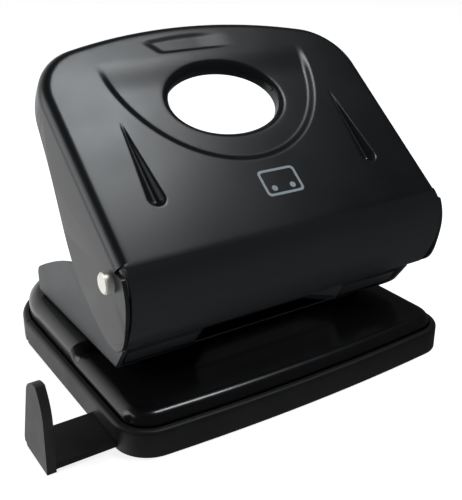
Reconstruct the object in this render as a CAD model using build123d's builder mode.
from build123d import *
from math import cos, radians, sin
import os

# Two-hole office punch. A pressed steel base carries a U-shaped bracket; the bracket holds the
# pivot axle, the pin guide bridge and two spring-loaded pins 80 mm apart. The sheet-steel handle
# turns on the axle and presses the pins down with two cam cheeks. A plastic cover closes the
# underside, holds the sliding paper guide and has a hinged chip flap at the back.
# Frame: X to the right, Y to the back, Z up, origin at the centre of the underside, millimetres.

# ---- base and plastic cover -------------------------------------------------------------------
BASE_HALF_WIDTH = 58.6
BASE_MID_X = -1.4               # the mechanism stands a little to the right of the base's middle
BASE_FRONT_Y = -53.1            # middle of the bowed front edge
BASE_FRONT_SIDE_Y = -50.5       # the same edge, carried out to the sides
BASE_BACK_Y = 53.0
FRONT_CORNER_R = 11.0
BACK_CORNER_R = 28.0
SKIRT_HEIGHT = 8.0
SKIRT_WALL = 2.0
SKIRT_EDGE_R = 1.2
FLOOR = 1.6
LEDGE_TOP = 3.0                 # the steel base stands on this ledge
LEDGE_WIDTH = 2.4

# ---- pressed steel base -----------------------------------------------------------------------
STEEL = 1.2
BASE_INSET = 2.5
BED_Z = 11.6                    # top of the paper bed
DECK_Z = 15.0                   # top of the raised rear half
STOP_Y = -8.5                   # paper stops at this step
STEP_RUN = 2.2
STEP_TOP_R, STEP_FOOT_R = 4.0, 1.6
BASE_EDGE_R = 3.4
WINDOW_YS, WINDOW_Z = (-12.0, 16.0), 5.8   # windows in the side walls for the cover's snap tongues

# ---- punching ---------------------------------------------------------------------------------
PIN_X = 40.0                    # ISO 838: two holes 80 mm apart ...
PIN_Y = STOP_Y - 12.0           # ... with their centres 12 mm from the sheet's edge
PIN_R = 3.0
RUNNING = 0.05                  # radial clearance of every running fit
PIN_TOP = 42.0
PIN_TIP = 15.6
TIP_NOTCH = 1.2
PRESS_ANGLE = 26.0

# ---- bracket ----------------------------------------------------------------------------------
BRACKET_T = 1.5
BRACKET_HALF = 53.0
BRACKET_FRONT_Y = -27.0
BRACKET_BACK_Y = 30.0
BRACKET_BEND_R = 2.4
PIVOT_Y, PIVOT_Z = -35.5, 46.5
AXLE_R = 3.0
AXLE_END = 58.3
EAR_R = 6.2
EAR_TOP_ANGLE = 66
EAR_FRONT_ANGLE = 196
NOTCH_HALF_FRONT, NOTCH_HALF_BACK, NOTCH_Y = 27.0, 19.0, -20.5
LIP_INNER_X, LIP_OUTER_X = 27.0, 50.0
LIP_LENGTH, LIP_ANGLE = 7.4, 57.0
BRIDGE_TOP = 34.1
BRIDGE_HALF_DEPTH = 7.0
BRIDGE_TAB_BOTTOM = 24.0
RIVET_X, RIVET_YS = 30.0, (4.0, 22.0)
RIVET_R, RIVET_HEAD_R, RIVET_HEAD_H = 2.0, 3.6, 1.6

# ---- handle -----------------------------------------------------------------------------------
HANDLE_T = 1.2
HANDLE_HALF = 56.0
SLOPE = 38.63                   # the face's slope at rest, in degrees
FACE_W = 8.25                   # outer face above the pivot, measured square to the face
FACE_LENGTH = 77.5              # from above the pivot to the middle of the rear edge
REAR_ARC_SAG = 10.0             # the rear edge bows back this much over the full width
REAR_CORNER_R = 19.0
FACE_EDGE_R = 3.5
RIM_DEPTH = 5.5
ROLL_HALF = 54.3
ROLL_BEND_R, ROLL_FRONT_R, ROLL_LIP_R = 10.5, 28.0, 4.0
ROLL_FRONT_SWEEP, ROLL_LIP_SWEEP = 38.5, 50.0
HOLE_U, HOLE_A, HOLE_B = 46.7, 19.0, 12.8
HOLE_COLLAR = 5.0

# ---- small parts ------------------------------------------------------------------------------
CLIP_T = 0.8
SPRING_R, SPRING_WIRE_R, SPRING_TURNS = 4.0, 0.45, 5.5
CAM_GAP = 0.1
CHEEK_T = 3.0
PRESS_PLATE_T = 2.0
GUIDE_Y0, GUIDE_Y1 = -42.0, -25.7
GUIDE_Z0, GUIDE_Z1 = 0.9, 2.6
GUIDE_OUT, GUIDE_IN = -79.7, -5.0
FIN_T = 2.6
SEAM_Y = 27.0
SEAM_GAP = 0.4
FLAP_AXIS_R = 1.3
LUG_X, LUG_T = 49.2, 3.0
BARREL_HALF = 54.0

BED_UNDER = BED_Z - STEEL
DECK_UNDER = DECK_Z - STEEL
PLATE_TOP = DECK_Z + BRACKET_T
BRIDGE_UNDER = BRIDGE_TOP - BRACKET_T
FLAP_Y, FLAP_Z = SEAM_Y + SEAM_GAP + FLAP_AXIS_R, FLAP_AXIS_R
rivet_places = [(side_x * RIVET_X, y) for side_x in (-1, 1) for y in RIVET_YS]
FULL = 200.0                    # longer than the whole object, for cuts that go right through

os.makedirs("parts", exist_ok=True)


def finish(piece, name):
    """Label a finished sub-part and write it."""
    piece.part.label = name
    export_step(piece.part, f"parts/{name}.step")


def polar(center, radius, angle):
    """A point on a circle, with the angle in degrees."""
    return (center[0] + radius * cos(radians(angle)), center[1] + radius * sin(radians(angle)))


def handle_point(u, w):
    """(y, z) of a point u up the slope and w square to it, measured from the pivot."""
    c, s = cos(radians(SLOPE)), sin(radians(SLOPE))
    return (PIVOT_Y + u * c - w * s, PIVOT_Z + u * s + w * c)


# The handle's own plane: origin on the pivot, X to the right, Y up the slope, Z square to the face.
HANDLE_PLANE = Plane(
    origin=(0, PIVOT_Y, PIVOT_Z), x_dir=(1, 0, 0),
    z_dir=(0, -sin(radians(SLOPE)), cos(radians(SLOPE))),
)

# ---- base outline, shared by the steel base and the plastic parts -------------------------------
with BuildSketch() as footprint:
    with BuildLine():
        left, right = BASE_MID_X - BASE_HALF_WIDTH, BASE_MID_X + BASE_HALF_WIDTH
        front = ThreePointArc(
            (left, BASE_FRONT_SIDE_Y), (BASE_MID_X, BASE_FRONT_Y), (right, BASE_FRONT_SIDE_Y)
        )
        Polyline(front @ 1, (right, BASE_BACK_Y), (left, BASE_BACK_Y), front @ 0)
    make_face()
    fillet(footprint.vertices().group_by(Axis.Y)[0], radius=FRONT_CORNER_R)
    fillet(footprint.vertices().group_by(Axis.Y)[-1], radius=BACK_CORNER_R)

# ---- steel base: low paper bed in front, raised deck behind ------------------------------------
def base_pressing(inset):
    """The base as a closed block with a stepped top, pulled in by inset from the steel's outside."""
    with BuildPart() as pressing:
        with BuildSketch(Plane.XY.offset(LEDGE_TOP - inset)):
            add(footprint.sketch)
            offset(amount=-BASE_INSET - inset)
        extrude(amount=DECK_Z)
        with BuildSketch(Plane.YZ.offset(-FULL / 2)) as side:
            with BuildLine():
                foot = (STOP_Y - STEP_RUN / 2 + inset / 2, BED_Z - inset)
                head = (STOP_Y + STEP_RUN / 2 + inset / 2, DECK_Z - inset)
                Polyline(
                    (-FULL / 2, 0), (-FULL / 2, foot[1]), foot, head, (FULL / 2, head[1]), (FULL / 2, 0),
                    close=True,
                )
            make_face()
            bends = side.vertices().sort_by_distance((0, STOP_Y, BED_Z))[:2].sort_by(Axis.Z)
            fillet(bends[0], radius=STEP_FOOT_R + inset)
            fillet(bends[1], radius=STEP_TOP_R - inset)
        extrude(amount=FULL, mode=Mode.INTERSECT)
        top_edges = [e for f in pressing.faces() if f.normal_at().Z > 0.2 for e in f.edges()]
        rim = [e for e in top_edges if abs(e.center().Y - STOP_Y) > 4 or abs(e.center().X) > 10]
        fillet(rim, radius=BASE_EDGE_R - inset)
    return pressing.part


with BuildPart() as base_plate:
    add(base_pressing(0))
    add(base_pressing(STEEL), mode=Mode.SUBTRACT)
    with BuildSketch(Plane.XY.offset(BED_UNDER - STEEL)):
        with Locations((-PIN_X, PIN_Y), (PIN_X, PIN_Y)):
            Circle(PIN_R + RUNNING)
        with Locations(rivet_places):
            Circle(RIVET_R)
    extrude(amount=DECK_Z, mode=Mode.SUBTRACT)
    with BuildSketch(Plane.YZ.offset(-FULL / 2)):
        with Locations([(y, WINDOW_Z) for y in WINDOW_YS]):
            Rectangle(9, 1.9)
    extrude(amount=FULL, mode=Mode.SUBTRACT)
finish(base_plate, "base_plate")

# ---- bracket: a U of sheet steel with ears for the axle ----------------------------------------
pivot = (PIVOT_Y, PIVOT_Z)
ear_top = polar(pivot, EAR_R, EAR_TOP_ANGLE)
ear_front = polar(pivot, EAR_R, EAR_FRONT_ANGLE)
with BuildPart() as punch_bracket:
    with BuildSketch(Plane.XZ.offset(-BRACKET_BACK_Y)) as channel:
        with Locations((0, DECK_Z)):
            Rectangle(2 * BRACKET_HALF, PIVOT_Z, align=(Align.CENTER, Align.MIN))
        fillet(channel.vertices().group_by(Axis.Y)[0], radius=BRACKET_BEND_R)
        with BuildSketch(mode=Mode.SUBTRACT) as hollow:
            with Locations((0, PLATE_TOP)):
                Rectangle(2 * (BRACKET_HALF - BRACKET_T), PIVOT_Z, align=(Align.CENTER, Align.MIN))
            fillet(hollow.vertices().group_by(Axis.Y)[0], radius=BRACKET_BEND_R - BRACKET_T)
    extrude(amount=FULL / 2)
    with BuildSketch(Plane.YZ.offset(-FULL / 2)) as cheek:
        with BuildLine():
            Polyline((BRACKET_FRONT_Y, DECK_Z), (BRACKET_BACK_Y, DECK_Z), (BRACKET_BACK_Y, 25))
            top = ThreePointArc((BRACKET_BACK_Y, 25), (8.2, 35.1), (-12, 40.6))
            Line(top @ 1, ear_top)
            ThreePointArc(ear_top, polar(pivot, EAR_R, (EAR_TOP_ANGLE + EAR_FRONT_ANGLE) / 2), ear_front)
            Polyline(ear_front, (-33.6, 23.5), (-28.4, DECK_Z + 1.4), (BRACKET_FRONT_Y, DECK_Z))
        make_face()
        fillet([v for v in cheek.vertices() if v.X > 20 and v.Y > 20], radius=4)
    extrude(amount=FULL, mode=Mode.INTERSECT)
    # sight notch in the front edge of the bottom plate
    with BuildSketch(Plane.XY.offset(DECK_Z - 1)):
        with BuildLine():
            Polyline(
                (-NOTCH_HALF_FRONT, BRACKET_FRONT_Y - 1), (-NOTCH_HALF_FRONT, BRACKET_FRONT_Y),
                (-NOTCH_HALF_BACK, NOTCH_Y), (NOTCH_HALF_BACK, NOTCH_Y),
                (NOTCH_HALF_FRONT, BRACKET_FRONT_Y), (NOTCH_HALF_FRONT, BRACKET_FRONT_Y - 1), close=True,
            )
        make_face()
    extrude(amount=4, mode=Mode.SUBTRACT)
    # flared lips that lead the paper in
    lean = radians(LIP_ANGLE)
    tip = (BRACKET_FRONT_Y - LIP_LENGTH * cos(lean), DECK_Z + LIP_LENGTH * sin(lean))
    for low_x in (-LIP_OUTER_X, LIP_INNER_X):
        with BuildSketch(Plane.YZ.offset(low_x)):
            with BuildLine():
                Polyline(
                    (BRACKET_FRONT_Y, DECK_Z), tip,
                    (tip[0] + BRACKET_T * sin(lean), tip[1] + BRACKET_T * cos(lean)),
                    (BRACKET_FRONT_Y + 0.8, PLATE_TOP), (BRACKET_FRONT_Y + 2, PLATE_TOP),
                    (BRACKET_FRONT_Y + 2, DECK_Z), close=True,
                )
            make_face()
        extrude(amount=LIP_OUTER_X - LIP_INNER_X)
    with BuildSketch(Plane.XY.offset(DECK_Z - 1)):
        with Locations((-PIN_X, PIN_Y), (PIN_X, PIN_Y)):
            Circle(PIN_R + RUNNING)
        with Locations(rivet_places):
            Circle(RIVET_R)
    extrude(amount=4, mode=Mode.SUBTRACT)
    with BuildSketch(Plane.YZ.offset(-FULL / 2)):
        with Locations(pivot):
            Circle(AXLE_R)
    extrude(amount=FULL, mode=Mode.SUBTRACT)
finish(punch_bracket, "punch_bracket")

# ---- guide bridge: upper bearing of both pins, welded between the bracket's cheeks -------------
with BuildPart() as guide_bridge:
    with BuildSketch(Plane.XZ.offset(-(PIN_Y + BRIDGE_HALF_DEPTH))) as arch:
        with Locations((0, BRIDGE_TOP)):
            Rectangle(2 * (BRACKET_HALF - BRACKET_T), BRIDGE_TOP - BRIDGE_TAB_BOTTOM,
                      align=(Align.CENTER, Align.MAX))
        fillet(arch.vertices().group_by(Axis.Y)[-1], radius=BRACKET_BEND_R)
        with BuildSketch(mode=Mode.SUBTRACT) as under:
            with Locations((0, BRIDGE_UNDER)):
                Rectangle(2 * (BRACKET_HALF - 2 * BRACKET_T), BRIDGE_UNDER, align=(Align.CENTER, Align.MAX))
            fillet(under.vertices().group_by(Axis.Y)[-1], radius=BRACKET_BEND_R - BRACKET_T)
    extrude(amount=2 * BRIDGE_HALF_DEPTH)
    with BuildSketch(Plane.XY.offset(BRIDGE_UNDER - 1)):
        with Locations((-PIN_X, PIN_Y), (PIN_X, PIN_Y)):
            Circle(PIN_R + RUNNING)
        with Locations((0, PIN_Y)):
            SlotOverall(50, 6)
    extrude(amount=4, mode=Mode.SUBTRACT)
    fillet(guide_bridge.edges().filter_by(Axis.X).group_by(Axis.Z)[0], radius=3)
finish(guide_bridge, "guide_bridge")

# ---- rivets that hold the bracket on the deck --------------------------------------------------
RIVET_TAIL_H = 1.0
with BuildPart() as bracket_rivets:
    for bottom_z, height, radius in (
        (DECK_UNDER - RIVET_TAIL_H, RIVET_TAIL_H, RIVET_HEAD_R - 0.4),
        (DECK_UNDER, PLATE_TOP - DECK_UNDER, RIVET_R),
        (PLATE_TOP, RIVET_HEAD_H, RIVET_HEAD_R),
    ):
        with BuildSketch(Plane.XY.offset(bottom_z)):
            with Locations(rivet_places):
                Circle(radius)
        extrude(amount=height)
    fillet(bracket_rivets.faces().group_by(Axis.Z)[-1].edges(), radius=0.8 * RIVET_HEAD_H)
finish(bracket_rivets, "bracket_rivets")

# ---- axle across the bracket, grooved for its clips --------------------------------------------
CLIP_X = BRACKET_HALF - BRACKET_T - 0.2 - CLIP_T
GROOVE = 0.5
with BuildPart() as pivot_axle:
    with BuildSketch(Plane.YZ.offset(-AXLE_END)):
        with Locations(pivot):
            Circle(AXLE_R)
    extrude(amount=2 * AXLE_END)
    chamfer(pivot_axle.edges().filter_by(GeomType.CIRCLE), length=0.4)
    for low_x in (-CLIP_X - CLIP_T, CLIP_X):
        with BuildSketch(Plane.YZ.offset(low_x)):
            with Locations(pivot):
                Circle(AXLE_R)
                Circle(AXLE_R - GROOVE, mode=Mode.SUBTRACT)
        extrude(amount=CLIP_T, mode=Mode.SUBTRACT)
finish(pivot_axle, "pivot_axle")


def clip_face(center, bore_r, outer_r):
    """Flat retaining clip: a ring with an open mouth, drawn on the plane in use."""
    with Locations(center):
        Circle(outer_r)
        Circle(bore_r, mode=Mode.SUBTRACT)
        Rectangle(1.3 * bore_r, 2 * outer_r, align=(Align.CENTER, Align.MAX), mode=Mode.SUBTRACT)


for side_name, low_x in (("left", -CLIP_X - CLIP_T), ("right", CLIP_X)):
    with BuildPart() as axle_clip:
        with BuildSketch(Plane.YZ.offset(low_x)):
            clip_face(pivot, AXLE_R - GROOVE, AXLE_R + 2.6)
        extrude(amount=CLIP_T)
    finish(axle_clip, f"axle_clip_{side_name}")

WASHER_T = HANDLE_HALF - HANDLE_T - BRACKET_HALF - 0.2
for side_name, low_x in (("left", -BRACKET_HALF - WASHER_T), ("right", BRACKET_HALF)):
    with BuildPart() as pivot_washer:
        with BuildSketch(Plane.YZ.offset(low_x)):
            with Locations(pivot):
                Circle(EAR_R - 0.3)
                Circle(AXLE_R, mode=Mode.SUBTRACT)
        extrude(amount=WASHER_T)
    finish(pivot_washer, f"pivot_washer_{side_name}")

# ---- pins with their clips, washers and return springs -----------------------------------------
CLIP_TOP = BRIDGE_UNDER - 0.2
CLIP_BOTTOM = CLIP_TOP - CLIP_T
SEAT_T = 0.6
SPRING_TOP = CLIP_BOTTOM - SEAT_T
for side_name, pin_x in (("left", -PIN_X), ("right", PIN_X)):
    with BuildPart() as punch_pin:
        with BuildSketch(Plane.XY.offset(PIN_TIP)):
            with Locations((pin_x, PIN_Y)):
                Circle(PIN_R)
        extrude(amount=PIN_TOP - PIN_TIP)
        chamfer(punch_pin.edges().filter_by(GeomType.CIRCLE).sort_by(Axis.Z)[-1], length=0.6)
        with BuildSketch(Plane.XY.offset(CLIP_BOTTOM)):
            with Locations((pin_x, PIN_Y)):
                Circle(PIN_R)
                Circle(PIN_R - GROOVE, mode=Mode.SUBTRACT)
        extrude(amount=CLIP_T, mode=Mode.SUBTRACT)
        # V-shaped cutting end
        with BuildSketch(Plane.XZ.offset(-PIN_Y - PIN_R)):
            with BuildLine():
                Polyline((pin_x - PIN_R + 0.3, PIN_TIP), (pin_x, PIN_TIP + TIP_NOTCH),
                         (pin_x + PIN_R - 0.3, PIN_TIP), close=True)
            make_face()
        extrude(amount=2 * PIN_R, mode=Mode.SUBTRACT)
    finish(punch_pin, f"punch_pin_{side_name}")

    with BuildPart() as pin_clip:
        with BuildSketch(Plane.XY.offset(CLIP_BOTTOM)):
            clip_face((pin_x, PIN_Y), PIN_R - GROOVE, PIN_R + 2.0)
        extrude(amount=CLIP_T)
    finish(pin_clip, f"pin_clip_{side_name}")

    with BuildPart() as spring_seat:
        with BuildSketch(Plane.XY.offset(SPRING_TOP)):
            with Locations((pin_x, PIN_Y)):
                Circle(PIN_R + 2.2)
                Circle(PIN_R + RUNNING, mode=Mode.SUBTRACT)
        extrude(amount=SEAT_T)
    finish(spring_seat, f"spring_seat_{side_name}")

    with BuildPart() as spring:
        spring_height = SPRING_TOP - PLATE_TOP - 2 * SPRING_WIRE_R - 0.04
        with BuildLine() as coil:
            Helix(pitch=spring_height / SPRING_TURNS, height=spring_height, radius=SPRING_R,
                  center=(pin_x, PIN_Y, PLATE_TOP + SPRING_WIRE_R + 0.02))
        with BuildSketch(Plane(origin=coil.line @ 0, z_dir=coil.line % 0)):
            Circle(SPRING_WIRE_R)
        sweep()
    finish(spring, f"spring_{side_name}")

# ---- handle: sloped face, deep side flanges and a rolled front ---------------------------------


def roll_chain(inset):
    """Front roll, from the end of the face down to the curled lip, as tangent arcs."""
    start = handle_point(0, FACE_W - inset)
    heading = (-cos(radians(SLOPE)), -sin(radians(SLOPE)))
    bend = JernArc(start=start, tangent=heading, radius=ROLL_BEND_R - inset, arc_size=90 - SLOPE)
    sweep_arc = JernArc(start=bend @ 1, tangent=bend % 1, radius=ROLL_FRONT_R - inset,
                        arc_size=ROLL_FRONT_SWEEP)
    lip = JernArc(start=sweep_arc @ 1, tangent=sweep_arc % 1, radius=ROLL_LIP_R - inset,
                  arc_size=ROLL_LIP_SWEEP)
    return bend @ 0, lip @ 1


# Side flange outline below the face: the rear edge as (u, w), the front edge and toe as (y, z).
FLANGE_REAR = ((61.0, 1.0), (54.6, -2.2), (46.8, -5.2), (38.8, -8.8), (30.0, -13.4), (19.3, -18.4),
               (10.5, -20.3))
FLANGE_TOE = ((-20.7, 32.4), (-28.0, 28.0), (-34.5, 26.3), (-38.0, 26.9))
FLANGE_FRONT = ((-38.0, 26.9), (-40.4, 28.9), (-42.9, 35.1), (-44.0, 44.1), (-42.4, 49.8))


def handle_cap(inset):
    """The face with its flanges as a closed block, pulled in by inset from the sheet's outside."""
    with BuildPart() as block:
        with BuildSketch(HANDLE_PLANE.offset(FACE_W - inset)) as outline:
            half, length = HANDLE_HALF - inset, FACE_LENGTH - inset
            with BuildLine():
                rear = ThreePointArc((-half, length - REAR_ARC_SAG), (0, length),
                                     (half, length - REAR_ARC_SAG))
                Polyline(rear @ 1, (half, -5 * inset), (-half, -5 * inset), rear @ 0)
            make_face()
            fillet(outline.vertices().group_by(Axis.Y)[-1], radius=REAR_CORNER_R - inset)
        extrude(amount=-FACE_W - 24)
        edges = [(e, HANDLE_PLANE.to_local_coords(e.center())) for e in block.edges()]
        fillet([e for e, c in edges if abs(c.Z - FACE_W + inset) < 0.01 and c.Y > 1],
               radius=FACE_EDGE_R - inset)
    return block.part


with BuildPart() as handle_shell:
    add(handle_cap(0))
    add(handle_cap(HANDLE_T), mode=Mode.SUBTRACT)
    # trim the flanges to their side outline
    with BuildSketch(Plane.YZ.offset(-FULL / 2)):
        with BuildLine():
            edge = Spline(*[handle_point(u, w) for u, w in FLANGE_REAR])
            rim_start = handle_point(66, FACE_W - RIM_DEPTH)
            Polyline(edge @ 0, rim_start, handle_point(90, FACE_W - RIM_DEPTH), handle_point(90, 20),
                     handle_point(-20, 20), handle_point(-20, -20.3), edge @ 1)
        make_face()
    extrude(amount=FULL, mode=Mode.INTERSECT)
    # front part of both flanges, down to the toe below the pivot
    for low_x in (-HANDLE_HALF, HANDLE_HALF - HANDLE_T):
        with BuildSketch(Plane.YZ.offset(low_x)):
            with BuildLine():
                start = handle_point(0, FACE_W - FACE_EDGE_R)
                Line(handle_point(20, -15), start)
                Line(start, FLANGE_FRONT[-1])
                Spline(*FLANGE_FRONT)
                toe = Spline(handle_point(*FLANGE_REAR[-1]), *FLANGE_TOE)
                Line(toe @ 0, handle_point(20, -15))
            make_face()
        extrude(amount=HANDLE_T)
    # rolled front between the flanges
    with BuildSketch(Plane.YZ.offset(-ROLL_HALF)):
        with BuildLine():
            ends = [roll_chain(inset) for inset in (0, HANDLE_T)]
            Line(ends[0][0], ends[1][0])
            Line(ends[0][1], ends[1][1])
        make_face()
    extrude(amount=2 * ROLL_HALF)
    # oval hole with a drawn collar
    with BuildSketch(HANDLE_PLANE.offset(FACE_W - HANDLE_T / 2)):
        with Locations((0, HOLE_U)):
            Ellipse(HOLE_A + HANDLE_T, HOLE_B + HANDLE_T)
    extrude(amount=HANDLE_T / 2 - HOLE_COLLAR)
    with BuildSketch(HANDLE_PLANE.offset(FACE_W + 1)):
        with Locations((0, HOLE_U)):
            Ellipse(HOLE_A, HOLE_B)
    extrude(amount=-HOLE_COLLAR - 3, mode=Mode.SUBTRACT)
    with BuildSketch(Plane.YZ.offset(-FULL / 2)):
        with Locations(pivot):
            Circle(AXLE_R + RUNNING)
    extrude(amount=FULL, mode=Mode.SUBTRACT)
finish(handle_shell, "handle_shell")

# ---- press bar: a plate under the face with two cam cheeks over the pins -----------------------
# A flat pin head pressed by this involute-like cam sinks in proportion to the handle's angle.
PIN_ARM = PIN_Y - PIVOT_Y
HEAD_DROP = PIVOT_Z - PIN_TOP - CAM_GAP
PLATE_W = FACE_W - HANDLE_T
PLATE_U0, PLATE_U1 = 3.0, 13.0
CAM_SWEEP = radians(PRESS_ANGLE + 3)


def cam_point(angle):
    """(y, z) of the cam where it touches the pin head once the handle has turned by angle."""
    drop = HEAD_DROP + PIN_ARM * angle
    return (PIVOT_Y + PIN_ARM * cos(angle) + drop * sin(angle),
            PIVOT_Z + PIN_ARM * sin(angle) - drop * cos(angle))


with BuildPart() as press_bar:
    with BuildSketch(HANDLE_PLANE.offset(PLATE_W)):
        with Locations((0, (PLATE_U0 + PLATE_U1) / 2)):
            RectangleRounded(2 * PIN_X + CHEEK_T, PLATE_U1 - PLATE_U0, 3)
    extrude(amount=-PRESS_PLATE_T)
    for pin_x in (-PIN_X, PIN_X):
        with BuildSketch(Plane.YZ.offset(pin_x - CHEEK_T / 2)):
            with BuildLine():
                steps = 5
                cam = Spline(*[cam_point(CAM_SWEEP * i / steps) for i in range(steps + 1)],
                             tangents=[(1, 0), (cos(CAM_SWEEP), sin(CAM_SWEEP))])
                nose = JernArc(start=cam @ 0, tangent=(-1, 0), radius=3.0, arc_size=-75)
                heel = JernArc(start=cam @ 1, tangent=cam % 1, radius=2.0, arc_size=75)
                Polyline(nose @ 1, handle_point(PLATE_U0 + 2, PLATE_W - 1),
                         handle_point(PLATE_U1 - 2, PLATE_W - 1), heel @ 1)
            make_face()
        extrude(amount=CHEEK_T)
finish(press_bar, "press_bar")

# ---- plastic skirt: the ring wall and floor shared by the cover and the chip flap --------------
with BuildPart() as skirt:
    with BuildSketch():
        add(footprint.sketch)
    extrude(amount=SKIRT_HEIGHT)
    fillet(skirt.faces().sort_by(Axis.Z)[-1].edges(), radius=SKIRT_EDGE_R)
    with BuildSketch(Plane.XY.offset(LEDGE_TOP)):
        add(footprint.sketch)
        offset(amount=-SKIRT_WALL)
    extrude(amount=SKIRT_HEIGHT, mode=Mode.SUBTRACT)
    with BuildSketch(Plane.XY.offset(FLOOR)):
        add(footprint.sketch)
        offset(amount=-SKIRT_WALL - LEDGE_WIDTH)
    extrude(amount=SKIRT_HEIGHT, mode=Mode.SUBTRACT)

RAIL_T, RAIL_TOP, RAIL_HOOK = 1.6, 4.0, 1.2
RAIL_X0, RAIL_X1 = -54.0, 14.0
GUIDE_SIDE_GAP = 0.3
CHANNEL_Z = 0.8
TONGUE_W, TONGUE_T = 8.0, 1.4
TONGUE_X = BASE_HALF_WIDTH - BASE_INSET - STEEL - 0.1
with BuildPart() as bottom_cover:
    add(skirt.part)
    with BuildSketch(Plane.XY.offset(-1)):
        with Locations((0, SEAM_Y)):
            Rectangle(FULL, FULL, align=(Align.CENTER, Align.MIN))
    extrude(amount=FULL, mode=Mode.SUBTRACT)
    # rails with hooked tops that hold the paper guide down
    for edge_y, inward in ((GUIDE_Y0 - GUIDE_SIDE_GAP, 1), (GUIDE_Y1 + GUIDE_SIDE_GAP, -1)):
        with BuildSketch(Plane.YZ.offset(RAIL_X0)):
            with BuildLine():
                Polyline((edge_y, CHANNEL_Z), (edge_y, GUIDE_Z1 + 0.2),
                         (edge_y + inward * RAIL_HOOK, GUIDE_Z1 + 0.2),
                         (edge_y + inward * RAIL_HOOK, RAIL_TOP), (edge_y - inward * RAIL_T, RAIL_TOP),
                         (edge_y - inward * RAIL_T, CHANNEL_Z), close=True)
            make_face()
        extrude(amount=RAIL_X1 - RAIL_X0)
    # channel in the floor and slot through the left wall
    with BuildSketch(Plane.YZ.offset(-FULL / 2)):
        with Locations(((GUIDE_Y0 + GUIDE_Y1) / 2, CHANNEL_Z)):
            Rectangle(GUIDE_Y1 - GUIDE_Y0 + 2 * GUIDE_SIDE_GAP, GUIDE_Z1 + 0.2 - CHANNEL_Z,
                      align=(Align.CENTER, Align.MIN))
    extrude(amount=FULL / 2 + RAIL_X1, mode=Mode.SUBTRACT)
    # snap tongues that catch the windows in the steel base
    for side_x in (-1, 1):
        outer_x = BASE_MID_X + side_x * TONGUE_X
        inner_x = outer_x - side_x * TONGUE_T
        for mid_y in WINDOW_YS:
            with BuildSketch(Plane.XZ.offset(-mid_y - TONGUE_W / 2)):
                with BuildLine():
                    Polyline((outer_x, FLOOR - 0.5), (outer_x, 5.0), (outer_x + side_x, 5.2),
                             (outer_x, 6.4), (outer_x, 7.6), (inner_x, 7.6), (inner_x, FLOOR - 0.5),
                             close=True)
                make_face()
            extrude(amount=TONGUE_W)
    # lugs that carry the flap
    for low_x in (-LUG_X - LUG_T, LUG_X):
        with BuildSketch(Plane.YZ.offset(low_x)):
            with Locations((FLAP_Y, FLAP_Z)):
                Circle(FLAP_AXIS_R - 0.1)
                Rectangle(6, 2 * FLAP_AXIS_R - 0.2, align=(Align.MAX, Align.CENTER))
                Circle(PIN_R / 4 + RUNNING, mode=Mode.SUBTRACT)
        extrude(amount=LUG_T)
finish(bottom_cover, "bottom_cover")

# ---- chip flap: the rear of the skirt and floor, hinged along its front edge -------------------
with BuildPart() as chip_flap:
    add(skirt.part)
    with BuildSketch(Plane.XY.offset(-1)):
        with Locations((0, SEAM_Y + SEAM_GAP)):
            Rectangle(FULL, FULL, align=(Align.CENTER, Align.MAX))
    extrude(amount=FULL, mode=Mode.SUBTRACT)
    # the flap carries no ledge, so it swings clear of the steel base
    with BuildSketch(Plane.XY.offset(FLOOR)):
        add(footprint.sketch)
        offset(amount=-SKIRT_WALL)
    extrude(amount=SKIRT_HEIGHT, mode=Mode.SUBTRACT)
    with BuildSketch(Plane.YZ.offset(-FULL / 2)):
        with Locations((SEAM_Y, 0)):
            Rectangle(FLAP_Y - SEAM_Y, FLAP_Z, align=(Align.MIN, Align.MIN))
    extrude(amount=FULL, mode=Mode.SUBTRACT)
    with BuildSketch(Plane.YZ.offset(-BARREL_HALF)):
        with Locations((FLAP_Y, FLAP_Z)):
            Circle(FLAP_AXIS_R)
    extrude(amount=2 * BARREL_HALF)
    with BuildSketch(Plane.XY.offset(-1)):
        for side_x in (-1, 1):
            with Locations((side_x * (LUG_X + LUG_T / 2), FLAP_Y)):
                Rectangle(LUG_T + 0.6, 3.6)
    extrude(amount=FLOOR + 3, mode=Mode.SUBTRACT)
    for side_x in (-1, 1):
        with BuildSketch(Plane.YZ.offset(side_x * (LUG_X + LUG_T / 2) - LUG_T)):
            with Locations((FLAP_Y, FLAP_Z)):
                Circle(PIN_R / 4)
        extrude(amount=2 * LUG_T)
    # finger notch in the rear wall
    with BuildSketch(Plane.XZ.offset(-BASE_BACK_Y - 1)):
        with Locations((BASE_MID_X, SKIRT_HEIGHT)):
            SlotOverall(18, 5)
    extrude(amount=SKIRT_WALL + 1.5, mode=Mode.SUBTRACT)
finish(chip_flap, "chip_flap")

# ---- paper guide: a flat arm in the cover's channel with an upright stop fin -------------------
with BuildPart() as paper_guide:
    with BuildSketch(Plane.XY.offset(GUIDE_Z0)) as arm:
        with Locations((GUIDE_OUT, GUIDE_Y0)):
            Rectangle(GUIDE_IN - GUIDE_OUT, GUIDE_Y1 - GUIDE_Y0, align=(Align.MIN, Align.MIN))
        fillet(arm.vertices().sort_by(Axis.X)[-2:], radius=3)
    extrude(amount=GUIDE_Z1 - GUIDE_Z0)
    with BuildSketch(Plane.YZ.offset(GUIDE_OUT)):
        with BuildLine():
            rear = Polyline((GUIDE_Y0, 0.0), (GUIDE_Y1 - 1.5, 0.0), (GUIDE_Y1, 2.5), (-32.3, 21.4))
            crown = ThreePointArc(rear @ 1, (-36.6, 25.0), (-40.0, 25.5))
            ThreePointArc(crown @ 1, (-42.4, 20.8), (-42.9, 14.0))
            Line((-42.9, 14.0), (GUIDE_Y0, 0.0))
        make_face()
    extrude(amount=FIN_T)
finish(paper_guide, "paper_guide")
